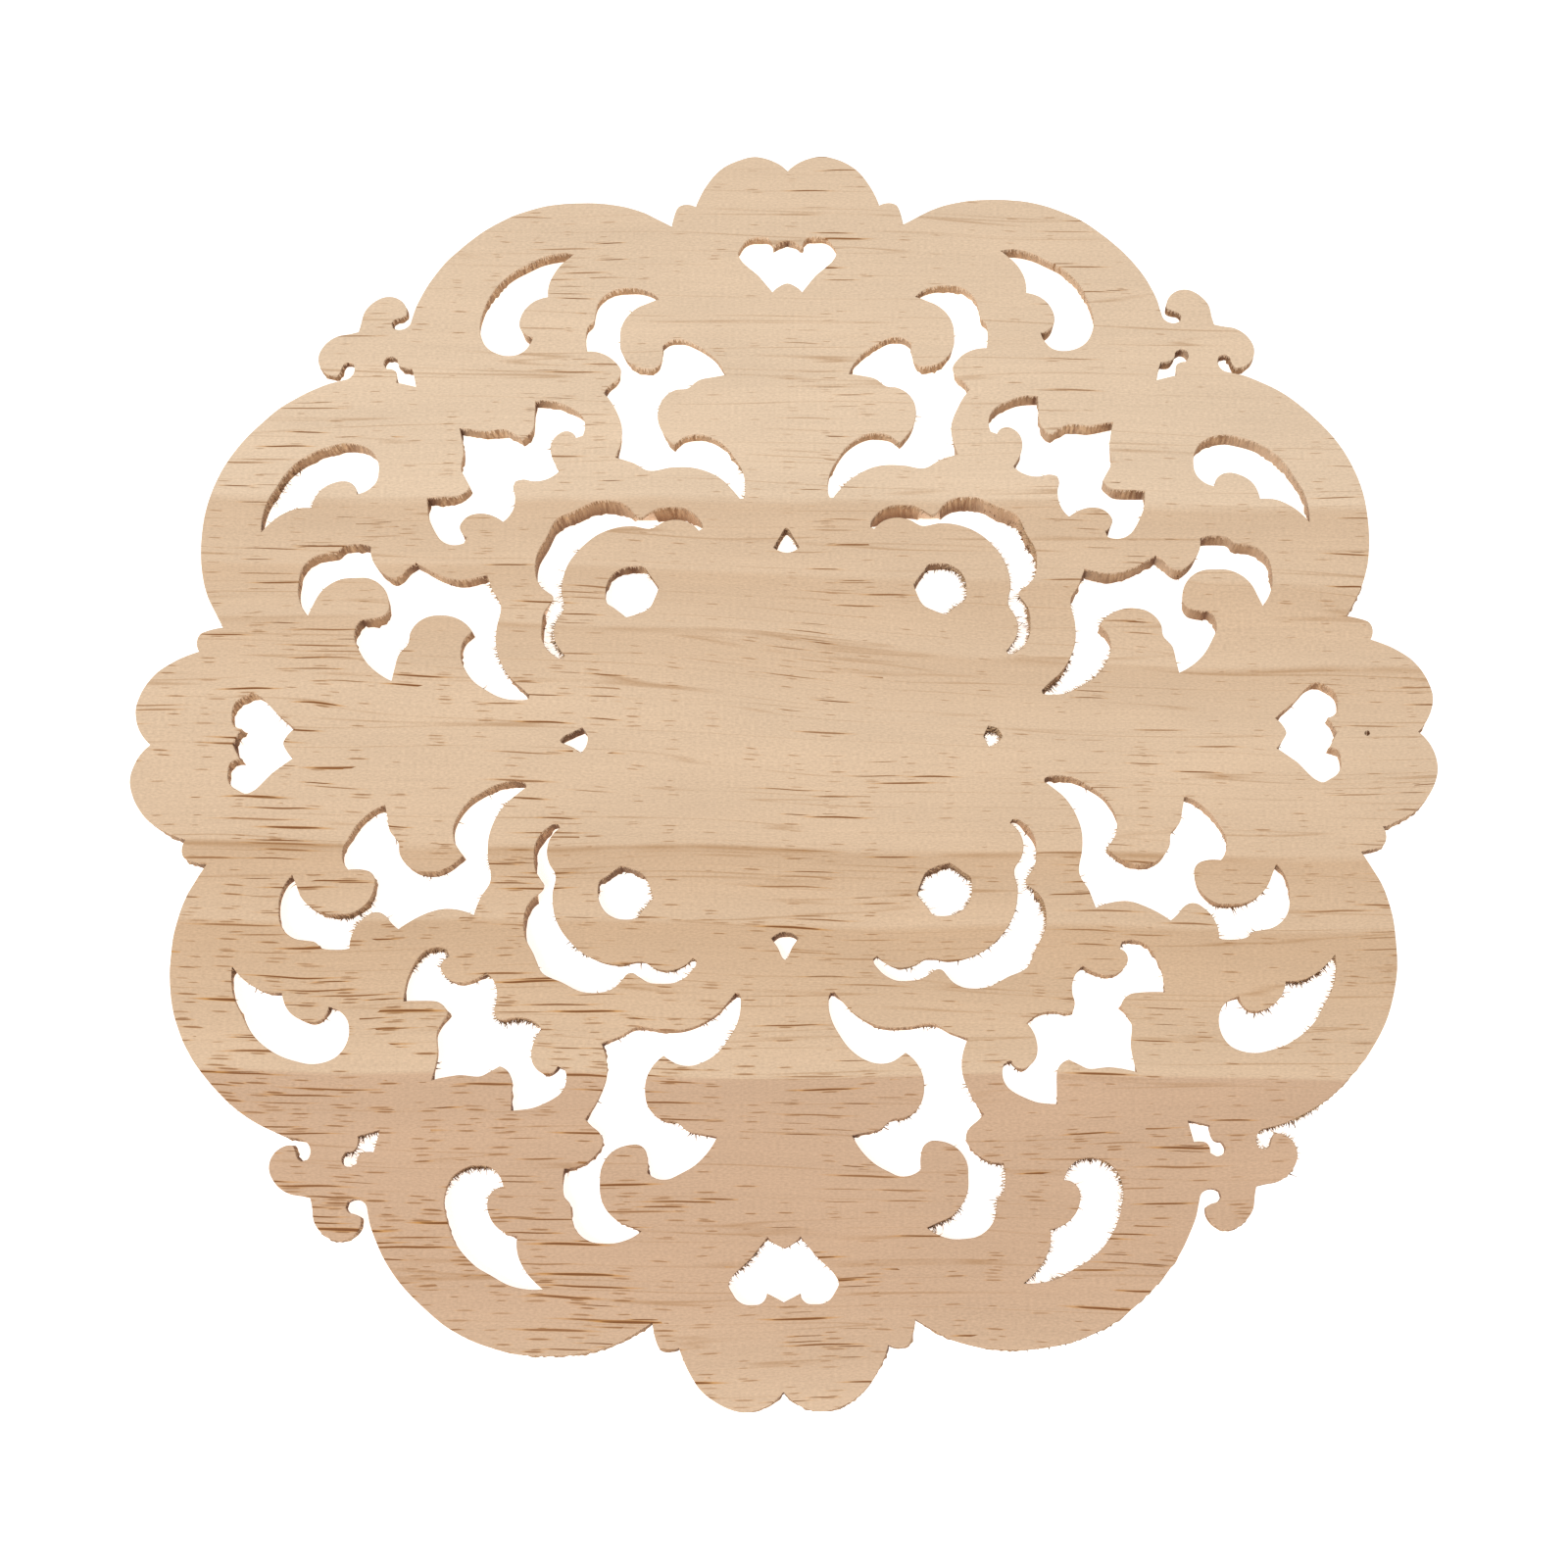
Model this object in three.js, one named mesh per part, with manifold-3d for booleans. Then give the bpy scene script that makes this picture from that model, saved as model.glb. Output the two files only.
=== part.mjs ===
import * as THREE from 'three';
import { mergeVertices } from 'three/addons/utils/BufferGeometryUtils.js';
import Module from 'manifold-3d';

// Pierced wooden onlay, lying with its flat glue face up at z = 0 and its carved front below.
// Sizes are in millimetres. Thicknesses are measured down from the glue face.
const HALF_WIDTH = 150;
const LEAF_THICKNESS = 4.2;
const BROW_THICKNESS = 7.8;
const CROWN_THICKNESS = 10;
const PETAL_EDGE_THICKNESS = 1.3;

// Outlines are drawn in hundredths of the half width, in the eighth between +Y and the diagonal.
// A stroke of two numbers is a straight cut to that point. A stroke of four numbers is an arc
// through its first point to its second. Half outlines are closed by their mirror image.
const SHARE = HALF_WIDTH / 100;
const CHORD_ERROR = 0.15;

const RIM = [
  [0, 97.3],
  [2.4, 99.2, 5.6, 100], [10.5, 98.1, 13.5, 94.5], [15, 90.9],
  [16, 91.3, 17.1, 91.3], [17.9, 90.9, 18.3, 90.1], [18.9, 87.4],
  [25.5, 90.7, 33.5, 91.8], [44.5, 89.7, 52.5, 84.3], [57, 79.2, 60, 73.2], [60.5, 71.2],
  [61.2, 69.7, 62.7, 69.3], [63.7, 70.1, 63.2, 71.2], [62.2, 71.5],
  [61.45, 71.9, 61.4, 72.9], [62.5, 74.6, 64.9, 75.2], [67.5, 73.6, 68.7, 70.2], [69, 69],
];

const BAT = [
  [0, 84.8],
  [1.1, 84.2, 2.4, 83.5], [3.1, 84.8, 4.4, 85.1], [6.2, 84.8, 7.4, 83.4],
  [7.95, 82.2, 7.4, 81], [4.7, 78.4, 2.4, 75.4], [1.4, 76.4, 0, 77],
];

const COMMA = [
  [34.7, 82.5],
  [38.5, 82.2, 42, 80.6], [47, 76.6, 49.1, 71.9], [49.4, 68.8, 48.3, 66.1],
  [45.3, 64.6, 42.8, 65], [41.5, 66.3, 40.9, 67.8],
  [42.6, 68.5, 43.2, 70.4], [42.2, 73, 38.7, 74.9],
  [38.6, 77.2, 37.4, 79.8], [36.2, 81.2, 34.7, 82.5],
];

const PALMETTE = [
  [20.7, 74.4],
  [23.2, 75.8, 26.2, 76.1], [29.6, 74.8, 30.9, 71.6], [31.1, 70.4], [32, 69.4], [32.1, 65.2],
  [29.4, 64.7, 27.3, 63], [26.6, 61.5, 27.2, 60], [28.2, 59.2, 29.3, 58],
  [27, 54.2, 26.2, 51.4], [26.4, 49, 27.2, 46.8], [24.5, 45.9, 22, 44.5],
  [18, 45, 14.6, 44.9], [10.6, 43.1, 7.7, 40], [7.1, 39.5, 6.6, 40.1],
  [6.8, 43.2, 8.3, 46.3], [10.6, 49, 13.9, 50.4], [16.2, 50, 17.9, 48.8],
  [20.2, 51.6, 20.6, 54.2], [19.3, 57.4, 16, 58.6],
  [14.4, 59.9, 12, 60.5], [9.9, 60.9], [11.9, 63.9, 15.3, 66.3], [17.9, 67, 20, 66], [20, 63.8],
  [20.8, 62.2, 22.7, 61.9], [25.9, 63.6, 26.9, 67.2], [25.8, 71.4, 22.4, 73.7],
];

const DIAMOND = [
  [52.1, 52.1],
  [50, 51.6, 48, 51.3], [44.8, 51.5], [43.6, 50.9, 42.1, 50.1], [40.9, 50.8, 40.2, 52.8],
  [40.2, 56.7], [36.9, 56.3, 34.2, 55.1], [32.6, 53.6, 32.2, 51.7], [32.5, 50.6, 33.5, 50.2],
  [34.3, 51.2, 35.3, 51.4], [37, 50.2, 37.5, 48.4], [37.2, 46.6, 36, 44.6],
  [37.9, 43.2, 40.3, 42.9], [41.9, 43.2, 42.9, 42.9],
];

const CRESCENT = [
  [36.2, 36.2],
  [33.3, 37.6, 30.3, 39.1], [28.2, 39.3, 26.1, 38.9], [24.9, 38.1, 24.1, 37.1],
  [23, 36.3, 22, 36.8], [20.3, 37.8, 18.5, 38], [15, 37.2, 13.3, 35.2], [13.3, 34.5, 13.8, 34.2],
  [15.4, 35.6, 17.6, 36.1], [19.7, 35.6, 21.2, 34.7], [24.4, 35.1, 27.4, 34.7], [30, 33.5, 31.9, 31.9],
];

const EYE = [
  [27, 27],
  [25.3, 28, 23.4, 28.2], [22.3, 28, 21.6, 27], [19.9, 24.9], [20.5, 23.1, 21.4, 21.4],
];

const CORNER = [
  [59.3, 59.3],
  [60.1, 62.5], [61.9, 62.6], [62.3, 63.1], [62.7, 64.4, 64.3, 64.3],
];

const KITE = [
  [0, 30.4],
  [2.05, 31.3], [1.1, 32.7, 0.3, 34.4], [0, 34.6],
];

// The kite on the +X side is cut smaller than the others.
const SMALL_KITE = [
  [0, 30.4],
  [1.7, 31.2], [1.2, 32.3, 0.4, 33.1], [0, 33.3],
];

// The carving, in the same hundredths. Four round petals, each with an eye, share one low dome
// inside the crescents. A brow stands along the outer side of each crescent and falls outward.
const PETAL_CENTRE = 22;
const PETAL_REACH = 15.6;
const DOME_REACH = 47;
const HUB_REACH = 34;
const DOME_OVERLAP = 0.3;
const BROW_TOP = 20;
const BROW_FOOT = 24;
const BROW_START = 37;
const BROW_FULL = 40;
const BROW_END = 56;
const DOME_RINGS = 6;
const DOME_SIDES = 48;
const PETAL_SIDES = 40;

function arcPoints(from, middle, to) {
  const a = middle.clone().sub(from);
  const b = to.clone().sub(from);
  const turn = a.cross(b);
  const centre = new THREE.Vector2(
    b.y * a.lengthSq() - a.y * b.lengthSq(),
    a.x * b.lengthSq() - b.x * a.lengthSq(),
  ).divideScalar(2 * turn).add(from);
  const start = Math.atan2(from.y - centre.y, from.x - centre.x);
  const end = Math.atan2(to.y - centre.y, to.x - centre.x);
  const clockwise = turn < 0;
  const full = 2 * Math.PI;
  const sweep = clockwise ? (start - end + full) % full : (end - start + full) % full;
  const radius = centre.distanceTo(from);
  const step = 2 * Math.acos(1 - CHORD_ERROR / radius);
  const arc = new THREE.ArcCurve(centre.x, centre.y, radius, start, end, clockwise);
  return arc.getPoints(Math.max(2, Math.ceil(sweep / step))).slice(1);
}

// The points of an outline drawn from its strokes, at true size
function draw(strokes) {
  const points = [new THREE.Vector2(...strokes[0])];
  for (const stroke of strokes.slice(1)) {
    const from = points[points.length - 1];
    const ends = [];
    for (let i = 0; i < stroke.length; i += 2) {
      ends.push(new THREE.Vector2(stroke[i], stroke[i + 1]));
    }
    points.push(...(ends.length === 1 ? ends : arcPoints(from, ends[0], ends[1])));
  }
  return points.map((point) => point.multiplyScalar(SHARE));
}

const mirroredAboutY = (point) => new THREE.Vector2(-point.x, point.y);
const mirroredAboutDiagonal = (point) => new THREE.Vector2(point.y, point.x);

// A half outline and its mirror image, joined at both ends of the axis of symmetry
function closed(half, mirrored) {
  return [...half, ...half.slice(1, -1).reverse().map(mirrored)];
}

function turned(points, quarters) {
  const centre = new THREE.Vector2();
  return points.map((point) => point.clone().rotateAround(centre, quarters * Math.PI / 2));
}

function rimOutline() {
  const eighth = draw(RIM);
  const quarter = [...eighth, ...eighth.slice(1, -1).reverse().map(mirroredAboutDiagonal)];
  const outline = [];
  for (let quarters = 0; quarters > -4; quarters -= 1) {
    outline.push(...turned(quarter, quarters));
  }
  return outline;
}

function piercings() {
  const [bat, kite, smallKite] = [BAT, KITE, SMALL_KITE].map(
    (strokes) => closed(draw(strokes), mirroredAboutY),
  );
  const kites = [kite, kite, kite, smallKite];
  const onDiagonal = [DIAMOND, CRESCENT, EYE, CORNER].map(
    (strokes) => closed(draw(strokes), mirroredAboutDiagonal),
  );
  const between = [COMMA, PALMETTE].flatMap((strokes) => {
    const right = draw(strokes);
    return [right, right.map(mirroredAboutY)];
  });
  const outlines = [];
  for (let quarters = 0; quarters < 4; quarters += 1) {
    for (const points of [bat, kites[quarters], ...onDiagonal, ...between]) {
      outlines.push(turned(points, quarters));
    }
  }
  return outlines;
}

function plateGeometry(depth) {
  const shape = new THREE.Shape(rimOutline().reverse());
  shape.holes = piercings().map((points) => {
    const clockwise = THREE.ShapeUtils.isClockWise(points) ? points : points.reverse();
    return new THREE.Path(clockwise);
  });
  const geometry = new THREE.ExtrudeGeometry(shape, { depth, bevelEnabled: false });
  return geometry.translate(0, 0, -depth);
}

// A body turned about the Z axis, from radii in shares and depths below the glue face. It stands
// above the glue face by one leaf, so that only the plate gives the flat side its face.
function turnedGeometry(underside, sides) {
  const reach = underside[underside.length - 1][0];
  const profile = [...underside, [reach, -LEAF_THICKNESS], [0, -LEAF_THICKNESS]];
  const points = profile.map(([radius, depth]) => new THREE.Vector2(radius * SHARE, -depth));
  return new THREE.LatheGeometry(points, sides).rotateX(Math.PI / 2);
}

function domeUnderside() {
  const rise = CROWN_THICKNESS - PETAL_EDGE_THICKNESS;
  const underside = [[0, CROWN_THICKNESS]];
  for (let ring = 1; ring <= DOME_RINGS; ring += 1) {
    const share = ring / DOME_RINGS;
    underside.push([share * DOME_REACH, CROWN_THICKNESS - rise * share * share]);
  }
  return underside;
}

const wasm = await Module();
wasm.setup();

function solidOf(geometry) {
  const bare = geometry.clone();
  bare.deleteAttribute('normal');
  bare.deleteAttribute('uv');
  const merged = mergeVertices(bare, 1e-4);
  const index = merged.index.array;
  const corners = [];
  for (let i = 0; i < index.length; i += 3) {
    const [a, b, c] = index.slice(i, i + 3);
    if (a !== b && b !== c && c !== a) {
      corners.push(a, b, c);
    }
  }
  return new wasm.Manifold(new wasm.Mesh({
    numProp: 3,
    vertProperties: new Float32Array(merged.attributes.position.array),
    triVerts: new Uint32Array(corners),
  }));
}

function geometryOf(solid) {
  const mesh = solid.getMesh();
  const geometry = new THREE.BufferGeometry();
  geometry.setAttribute('position', new THREE.BufferAttribute(mesh.vertProperties, 3));
  geometry.setIndex(new THREE.BufferAttribute(mesh.triVerts, 1));
  geometry.computeVertexNormals();
  return geometry;
}

// One copy of a geometry at each petal, joined
function atPetals(geometry) {
  let joined = null;
  for (let quarter = 0; quarter < 4; quarter += 1) {
    const place = new THREE.Vector3(PETAL_CENTRE, PETAL_CENTRE, 0).multiplyScalar(SHARE);
    place.applyAxisAngle(new THREE.Vector3(0, 0, 1), quarter * Math.PI / 2);
    const copy = solidOf(geometry.clone().translate(place.x, place.y, place.z));
    joined = joined ? joined.add(copy) : copy;
  }
  return joined;
}

// The round of the four petals and the middle between them
function court(depth, allowance) {
  const petal = [[0, depth], [PETAL_REACH + allowance, depth]];
  const hub = [[0, depth], [HUB_REACH + allowance, depth]];
  return atPetals(turnedGeometry(petal, PETAL_SIDES)).add(solidOf(turnedGeometry(hub, PETAL_SIDES)));
}

// Everything that the carving leaves of the blank, before it is pierced
function carvedBlank() {
  const depth = CROWN_THICKNESS + LEAF_THICKNESS;
  const dome = solidOf(turnedGeometry(domeUnderside(), DOME_SIDES)).intersect(court(depth, DOME_OVERLAP));
  const width = 2.1 * HALF_WIDTH;
  const leaves = solidOf(new THREE.BoxGeometry(width, width, 2 * LEAF_THICKNESS));
  const ridge = turnedGeometry([
    [0, BROW_THICKNESS], [BROW_TOP, BROW_THICKNESS], [BROW_FOOT, LEAF_THICKNESS / 2],
  ], PETAL_SIDES);
  const collar = turnedGeometry([
    [0, LEAF_THICKNESS], [BROW_START, LEAF_THICKNESS],
    [BROW_FULL, BROW_THICKNESS], [BROW_END, BROW_THICKNESS],
  ], DOME_SIDES);
  const brow = atPetals(ridge).intersect(solidOf(collar));
  return leaves.add(brow).subtract(court(depth, 0)).add(dome);
}

function onlayGeometry() {
  const plate = solidOf(plateGeometry(CROWN_THICKNESS + LEAF_THICKNESS));
  return geometryOf(plate.intersect(carvedBlank()));
}

const wood = new THREE.MeshStandardMaterial({ color: 0xdabc9e, roughness: 0.72, metalness: 0 });
const onlay = new THREE.Mesh(onlayGeometry(), wood);
onlay.name = 'onlay';

const part = new THREE.Group();
part.add(onlay);

export default part;
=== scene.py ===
"""Looks of a pierced rosette onlay in bare rubberwood, lying with its flat glue face up."""

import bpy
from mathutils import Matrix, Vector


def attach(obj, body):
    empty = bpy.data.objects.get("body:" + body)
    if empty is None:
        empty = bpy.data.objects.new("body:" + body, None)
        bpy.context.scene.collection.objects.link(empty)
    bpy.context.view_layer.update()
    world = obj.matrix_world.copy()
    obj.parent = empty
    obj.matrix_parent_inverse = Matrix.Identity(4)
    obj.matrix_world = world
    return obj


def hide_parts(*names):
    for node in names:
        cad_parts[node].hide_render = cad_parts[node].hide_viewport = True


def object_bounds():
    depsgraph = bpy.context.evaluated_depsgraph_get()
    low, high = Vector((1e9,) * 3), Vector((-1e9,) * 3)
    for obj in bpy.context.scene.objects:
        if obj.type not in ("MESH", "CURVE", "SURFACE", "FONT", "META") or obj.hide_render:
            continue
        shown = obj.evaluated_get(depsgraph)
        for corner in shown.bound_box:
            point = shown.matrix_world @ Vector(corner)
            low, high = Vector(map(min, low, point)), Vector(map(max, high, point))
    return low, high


bl_info = {
    "name": "Pierced Rosette Onlay",
    "version": (1, 0, 0),
    "blender": (4, 5, 0),
    "location": "3D View > Sidebar > Onlay",
    "description": "Builds a sawn and carved wooden onlay with its torn edges, and a studio stage",
    "category": "Add Mesh",
}

import math
import random

import bpy
import numpy as np
from bpy.props import FloatProperty, FloatVectorProperty, IntProperty, PointerProperty
from mathutils import Matrix, Vector, kdtree, noise
from mathutils.geometry import delaunay_2d_cdt

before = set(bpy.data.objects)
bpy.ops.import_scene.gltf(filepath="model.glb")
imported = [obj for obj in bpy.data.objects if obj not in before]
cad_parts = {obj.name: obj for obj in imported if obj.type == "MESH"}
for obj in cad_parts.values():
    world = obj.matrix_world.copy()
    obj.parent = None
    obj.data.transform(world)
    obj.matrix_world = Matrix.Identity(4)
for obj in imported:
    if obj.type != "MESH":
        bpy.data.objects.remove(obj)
cad_low, cad_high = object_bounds()

MM = 0.001
NODE = "onlay"
HALF_WIDTH = cad_high.x / MM
CROWN = -cad_low.z / MM

# Thickness of the leaves at places on the board: millimetres across, up and down into the wood
LEAVES = (
    (0, 127, 3.0), (-31, 110, 2.7), (31, 110, 3.0), (-64, 125, 4.2), (64, 125, 3.9),
    (-66, 90, 4.3), (66, 90, 5.3), (-94, 98, 2.8), (94, 98, 4.6), (-103, 103, 1.7),
    (103, 103, 1.7), (-110, 74, 5.1), (110, 74, 5.4), (-88, 41, 4.6), (88, 41, 6.0),
    (-123, 7, 4.1), (123, 7, 4.6), (-88, -20, 4.7), (88, -20, 4.3), (-66, -60, 3.8),
    (66, -60, 3.6), (-110, -60, 3.6), (110, -60, 3.3), (-31, -85, 3.8), (31, -85, 3.8),
    (0, -118, 3.6), (-64, -105, 3.6), (64, -105, 3.6), (-103, -103, 2.4), (103, -103, 2.4),
)
LEAF_BLEND = 10

# The rest of the carved front, in millimetres below the glue face or out from the middle
BROW = 8.1
BROW_SKEW = 0.01
PETAL_EDGE = 1.1
DOME_REACH = 70.5
HUB_REACH = 51
PETAL_CENTRE = 33
PETAL_REACH = 23.4
DOME_CURVE = 1.6
# Beside each edge the front rolls up, and farther in it is scooped.
ROLL_HEIGHT = 0.45
ROLL_PLACE = 1.9
ROLL_WIDTH = 1.1
SCOOP_DEPTH = 0.6
THINNEST = 0.7
# Bands, in millimetres, over which one part of the front turns into the next
OFF_AXIS = (14, 24)
PETAL_RIM = (0, 9)
PAST_HUB = (45, 58)
BROW_IN_PETAL = (36, 30)
BROW_PAST_HUB = (55.5, 60)
SCOOP_BAND = (3, 7.5)
# Half widths of the step around the dome: off the axes, and how much more on them
COURT_STEP = 0.15
COURT_SLOPE = 5

# An outline that turns more than this at a point has a sharp cusp there
CUSP_TURN = math.radians(50)
# At a sharp corner the way out of the wood is at most 1 / this long.
MITER_LIMIT = 0.6
# Parts of a curve between two corners of the solid, before its points are spaced evenly
CURVE_PARTS = 8
# Points on the carved front keep this share of their spacing away from the outlines.
FRONT_CLEAR = 0.55

# A pin hole stands near the right end of the glue face
PIN_HOLE = (134.2, -0.3)
PIN_RADIUS = 0.65
PIN_SIDES = 12
# It narrows to this share of its radius at the first depth, and to a point at the second.
PIN_NARROWING = 0.6
PIN_DEPTHS = (0.8, 1.3)

# An opening shorter around than this is burnt all round, others mostly at their notches.
SMALL_OPENING = 45
SMALL_SCORCH = 0.7
PLAIN_SCORCH = 0.12
NOTCH_SCORCH = 1.1
NOTCH_REACH = 2.4

# The lean and the undercut fade out over this many millimetres towards a cusp.
CUSP_PLUMB = 2.5
# Heights on the board between which the blade's lean grows from nothing to full
LEAN_HEIGHTS = (-80, 10)
# Values of the noise between which the lower edge goes from clean to torn
TORN_RANGE = (-0.25, 0.35)
# How uneven the depth of the walls is, as a share, and millimetres that ragged places add
UNEVEN_DEPTH = 0.07
TORN_DEPTH = 0.35

# Kinds of noise along the sawn edges: millimetres over which each changes, and its seed
WANDERS = {
    "saw": (5, 3.1),
    "arris": (3, 7.7),
    "teeth": (0.9, 1.3),
    "torn": (9, 12.5),
    "ragged": (0.55, 21.9),
    "coarsely ragged": (1.3, 5.5),
    "depth": (7, 30.3),
    "scorch": (2.5, 40.1),
    "fibres": (7, 51.2),
}

# Lengths that make up a strand, and the seed of the strands' random draws
STRAND_STEPS = 4
STRAND_SEED = 7
# Fibres come in patches, more of them near the middle, and crumbs mostly in the lower half.
FIBRE_PATCHES = (-0.05, 0.4)
FIBRE_REACH = (110, 60)
CRUMB_HEIGHTS = (60, -60)

# Where the saw tore out the most fibres: places in millimetres, and how far each spot reaches
TORN_SPOTS = (
    (42, 36, 7), (57, 45, 8), (56, 26, 8), (62, 11, 6), (70, 14, 6), (49, 1, 4), (-54, 23, 5),
    (57, -41, 8), (37, -36, 7), (-33, -38, 4), (100, -45, 5), (116, -58, 7), (66, -98, 6),
    (73, -104, 6), (47, -103, 5), (57, -121, 8), (113, -89, 6), (106, -93, 4), (-117, 62, 5),
    (34, -110, 5), (-10, -118, 5), (-70, -98, 6), (-60, -64, 5), (-79, -50, 4), (-95, -42, 4),
    (-95, -91, 4),
)


def smoothstep(value, low, high):
    share = np.clip((value - low) / (high - low), 0, 1)
    return share * share * (3 - 2 * share)


def wander(points, kind):
    """Smooth noise between -1 and 1 at each point, of one kind of those in WANDERS."""
    size, seed = WANDERS[kind]
    return np.array([noise.noise(Vector((x / size, y / size, seed))) for x, y in points])


# The outlines


def glue_face_outlines():
    """The outlines of the solid's flat glue face in millimetres, each with the wood on its left."""
    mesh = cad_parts[NODE].data
    places = [tuple(round(c / MM, 3) for c in v.co) for v in mesh.vertices]
    following = {}
    for polygon in mesh.polygons:
        corners = [places[i] for i in polygon.vertices]
        if all(abs(corner[2]) < 0.001 for corner in corners):
            for start, end in zip(corners, corners[1:] + corners[:1]):
                if following.get(end) and start in following[end]:
                    following[end].remove(start)
                else:
                    following.setdefault(start, []).append(end)
    outlines = []
    while any(following.values()):
        start = min(place for place, ends in following.items() if ends)
        outline, place = [], start
        while following.get(place):
            outline.append(place[:2])
            place = following[place].pop()
        outlines.append(np.array(outline))
    return outlines


def turns(points):
    """How far an outline turns at each of its points, positive to the left."""
    before = points - np.roll(points, 1, 0)
    after = np.roll(points, -1, 0) - points
    cross = before[:, 0] * after[:, 1] - before[:, 1] * after[:, 0]
    return np.arctan2(cross, (before * after).sum(1))


def curve_through(points, closed, step):
    """Points every step or so along a smooth curve through the given ones, without the last."""
    if closed:
        points = np.vstack([points[-1], points, points[:2]])
    legs = np.diff(points, axis=0)
    lengths = np.linalg.norm(legs, axis=1)
    ways = legs / lengths[:, None]
    tangents = np.empty_like(points)
    before, after = lengths[:-1, None], lengths[1:, None]
    tangents[1:-1] = (ways[:-1] * after + ways[1:] * before) / (before + after)
    tangents[0], tangents[-1] = ways[0], ways[-1]
    if len(points) > 2 and not closed:
        tangents[0] = 2 * ways[0] - tangents[1]
        tangents[-1] = 2 * ways[-1] - tangents[-2]
    if closed:
        points, tangents, lengths = points[1:-1], tangents[1:-1], lengths[1:-1]
    reach = np.minimum(lengths, 1.5 * np.minimum(np.roll(lengths, 1), np.roll(lengths, -1)))
    share = np.linspace(0, 1, CURVE_PARTS + 1)[:-1, None]
    fine = []
    for i, length in enumerate(reach):
        start, end = points[i], points[i + 1]
        fine.append(
            (2 * share**3 - 3 * share**2 + 1) * start
            + (share**3 - 2 * share**2 + share) * tangents[i] * length
            + (3 * share**2 - 2 * share**3) * end
            + (share**3 - share**2) * tangents[i + 1] * length
        )
    fine = np.vstack([*fine, points[-1:]])
    along = np.r_[0, np.cumsum(np.linalg.norm(np.diff(fine, axis=0), axis=1))]
    places = np.linspace(0, along[-1], max(2, round(along[-1] / step)) + 1)[:-1]
    return np.c_[np.interp(places, along, fine[:, 0]), np.interp(places, along, fine[:, 1])]


class Outline:
    """One closed sawn outline: its points, the way out of the wood at each, and its cusps."""

    def __init__(self, corners, step):
        self.step = step
        cusps = np.nonzero(np.abs(turns(corners)) > CUSP_TURN)[0]
        if len(cusps) == 0:
            self.points = curve_through(corners, True, step)
            self.cusps = np.array([], int)
        else:
            corners = np.roll(corners, -cusps[0], 0)
            cusps = cusps - cusps[0]
            ends = [*cusps[1:], len(corners)]
            around = np.vstack([corners, corners[:1]])
            spans = [curve_through(around[a : b + 1], False, step) for a, b in zip(cusps, ends)]
            self.points = np.vstack(spans)
            self.cusps = np.cumsum([0, *map(len, spans[:-1])])
        before = self.points - np.roll(self.points, 1, 0)
        after = np.roll(self.points, -1, 0) - self.points
        before /= np.linalg.norm(before, axis=1)[:, None]
        after /= np.linalg.norm(after, axis=1)[:, None]
        way = before + after
        way /= np.linalg.norm(way, axis=1)[:, None]
        miter = 1 / np.maximum(MITER_LIMIT, (way * after).sum(1))
        self.out = np.c_[way[:, 1], -way[:, 0]] * miter[:, None]
        self.turn = turns(self.points)

    def __len__(self):
        return len(self.points)

    def gap_from(self, at):
        """How far along the outline each point is from the one numbered at, in millimetres."""
        half = len(self) // 2
        return np.abs((np.arange(len(self)) - at + half) % len(self) - half) * self.step


def sawn_outlines(sizes):
    """The outlines as smooth curves, then all their points, the way out of the wood at each,
    and 1 for each point in an opening or 0 on the rim."""
    outlines = [Outline(corners, sizes.outline_step / MM) for corners in glue_face_outlines()]
    points = np.vstack([o.points for o in outlines])
    out = np.vstack([o.out for o in outlines])
    openings = [float(np.ptp(o.points[:, 0]) < HALF_WIDTH) for o in outlines]
    return outlines, points, out, np.repeat(openings, [len(o) for o in outlines])


def edges_along(outlines):
    """Pairs of point numbers along each closed outline, numbered on from one to the next."""
    edges, start = [], 0
    for outline in outlines:
        count = len(outline)
        edges += [(start + i, start + (i + 1) % count) for i in range(count)]
        start += count
    return edges


# The carved front


def thickness(points, edge_distance):
    """Thickness of the wood at each point, from the glue face to the carved front."""
    across = np.abs(points)
    from_middle = np.hypot(*across.T)
    from_petal = np.hypot(*(across - PETAL_CENTRE).T)
    from_axis = across.min(1)
    dome = CROWN - (CROWN - PETAL_EDGE) * (from_middle / DOME_REACH) ** DOME_CURVE
    off_axis = smoothstep(from_axis, *OFF_AXIS)
    rim = 1 - smoothstep(PETAL_REACH - from_petal, *PETAL_RIM)
    petal = dome - (dome - PETAL_EDGE) * rim * smoothstep(from_middle, *PAST_HUB) * off_axis
    inside = np.maximum(PETAL_REACH - from_petal, HUB_REACH - from_middle)
    softness = COURT_STEP + COURT_SLOPE * (1 - off_axis)
    court = smoothstep(inside, -softness, softness)
    ridge = smoothstep(from_petal, *BROW_IN_PETAL) * smoothstep(from_middle, *BROW_PAST_HUB)
    total, leaves = 0, 0
    for x, y, thick in LEAVES:
        weight = (((points - (x, y)) ** 2).sum(1) + LEAF_BLEND**2) ** -2
        total += weight
        leaves += weight * thick
    leaves /= total
    leaves += (BROW + BROW_SKEW * points[:, 0] - leaves) * ridge
    roll = ROLL_HEIGHT * np.exp(-(((edge_distance - ROLL_PLACE) / ROLL_WIDTH) ** 2))
    scoop = SCOOP_DEPTH * smoothstep(edge_distance, *SCOOP_BAND) * (1 - court) * (1 - ridge)
    depth = leaves + (petal - leaves) * court + roll - scoop
    return np.clip(depth, THINNEST, CROWN)


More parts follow.
